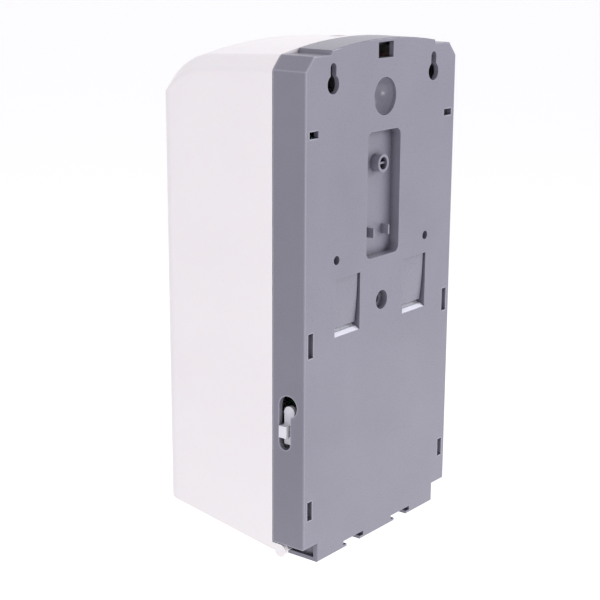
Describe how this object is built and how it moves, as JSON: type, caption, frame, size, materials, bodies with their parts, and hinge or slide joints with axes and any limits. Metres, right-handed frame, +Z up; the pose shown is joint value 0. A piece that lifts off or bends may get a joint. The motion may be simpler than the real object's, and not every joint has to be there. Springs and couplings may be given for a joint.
{
  "type": "wall mounted soap dispenser",
  "caption": "Wall mounted touch-free soap dispenser: grey back housing, hinged white cover, refillable reservoir, gear pump and battery drive.",
  "frame": {"origin": "on the wall plane, at the middle of the housing's bottom lip", "axes": "+Z up, -Y out of the wall to the front, +X towards the side with the slide switch"},
  "size_m": [0.1406, 0.107, 0.2832],
  "materials": {
    "housing_grey": "fine spark texture",
    "cover_white": "satin moulded",
    "clear_window": "clear moulded",
    "dark_window": "polished infrared-passing",
    "steel": "plain",
    "zinc": "plated",
    "brass": "plain",
    "slider_white": "moulded",
    "black_plastic": "moulded",
    "chassis_white": "moulded",
    "bottle_clear": "natural polyethylene",
    "cap_grey": "moulded",
    "silicone": "translucent silicone",
    "gear_white": "acetal",
    "board_green": "solder mask",
    "cell_metal": "wrapped"
  },
  "bodies": {
    "housing": {"back_housing": "housing_grey", "inner_chassis": "chassis_white", "chassis_screws": "steel", "switch_body": "black_plastic", "switch_board": "board_green", "pump_body": "chassis_white", "pump_cover": "chassis_white", "pump_plate": "chassis_white", "spout_seal": "silicone", "pump_screws": "steel", "gear_axle": "steel", "drive_motor": "zinc", "nozzle": "cap_grey", "nozzle_valve": "silicone", "battery_box": "black_plastic", "battery_cells": "cell_metal", "contact_springs": "zinc", "contact_plates": "zinc", "control_board": "board_green", "board_chips": "black_plastic", "status_led": "clear_window", "sensor_emitter": "clear_window", "sensor_receiver": "dark_window", "board_screws": "steel"},
    "cover": {"front_cover": "cover_white", "level_window": "clear_window", "sensor_window": "dark_window", "status_lens": "clear_window", "hinge_pins": "steel"},
    "lock": {"lock_plug": "zinc", "lock_cam": "zinc", "lock_screw": "steel"},
    "slider": {"side_slider": "slider_white"},
    "reservoir": {"soap_reservoir": "bottle_clear"},
    "cap": {"filler_cap": "cap_grey", "cap_seal": "silicone"},
    "pump_drive": {"drive_rotor": "gear_white", "output_gear": "gear_white"},
    "pump_idler": {"idler_rotor": "gear_white"},
    "reduction": {"compound_gear": "gear_white"},
    "motor_rotor": {"motor_pinion": "brass", "motor_shaft": "steel"},
    "battery_lid": {"battery_door": "black_plastic"}
  },
  "joints": [
    {"name": "cover_hinge", "type": "hinge", "parent": "housing", "child": "cover", "pos_m": [0, -0.0165, 0.0068], "axis": [1, 0, 0], "range_deg": [0, 90]},
    {"name": "lock_turn", "type": "hinge", "parent": "cover", "child": "lock", "pos_m": [0, -0.033, 0.27], "axis": [0, 0, 1], "range_deg": [0, 90]},
    {"name": "switch_slide", "type": "slide", "parent": "housing", "child": "slider", "axis": [0, 0, 1], "range_m": [0, 0.008]},
    {"name": "reservoir_lift", "type": "slide", "parent": "housing", "child": "reservoir", "axis": [0, 0, 1], "range_m": [0, 0.01]},
    {"name": "cap_turn", "type": "hinge", "parent": "reservoir", "child": "cap", "pos_m": [0, -0.0605, 0.2422], "axis": [0, 0, 1], "range_deg": [0, 90]},
    {"name": "output_spin", "type": "hinge", "parent": "housing", "child": "pump_drive", "pos_m": [0.008, -0.06, 0.058], "axis": [0, 1, 0], "continuous": true},
    {"name": "idler_spin", "type": "hinge", "parent": "housing", "child": "pump_idler", "pos_m": [-0.008, -0.06, 0.058], "axis": [0, 1, 0], "continuous": true},
    {"name": "wheel_spin", "type": "hinge", "parent": "housing", "child": "reduction", "pos_m": [0.0272, -0.044, 0.058], "axis": [0, 1, 0], "continuous": true},
    {"name": "motor_spin", "type": "hinge", "parent": "housing", "child": "motor_rotor", "pos_m": [0.0512, -0.042, 0.058], "axis": [0, 1, 0], "continuous": true},
    {"name": "battery_door_pull", "type": "slide", "parent": "housing", "child": "battery_lid", "axis": [0, -1, 0], "range_m": [0, 0.02]}
  ],
  "couplings": [
    {"joint": "wheel_spin", "follows": "motor_spin", "ratio": -0.25},
    {"joint": "output_spin", "follows": "motor_spin", "ratio": 0.083333},
    {"joint": "idler_spin", "follows": "motor_spin", "ratio": -0.083333}
  ]
}
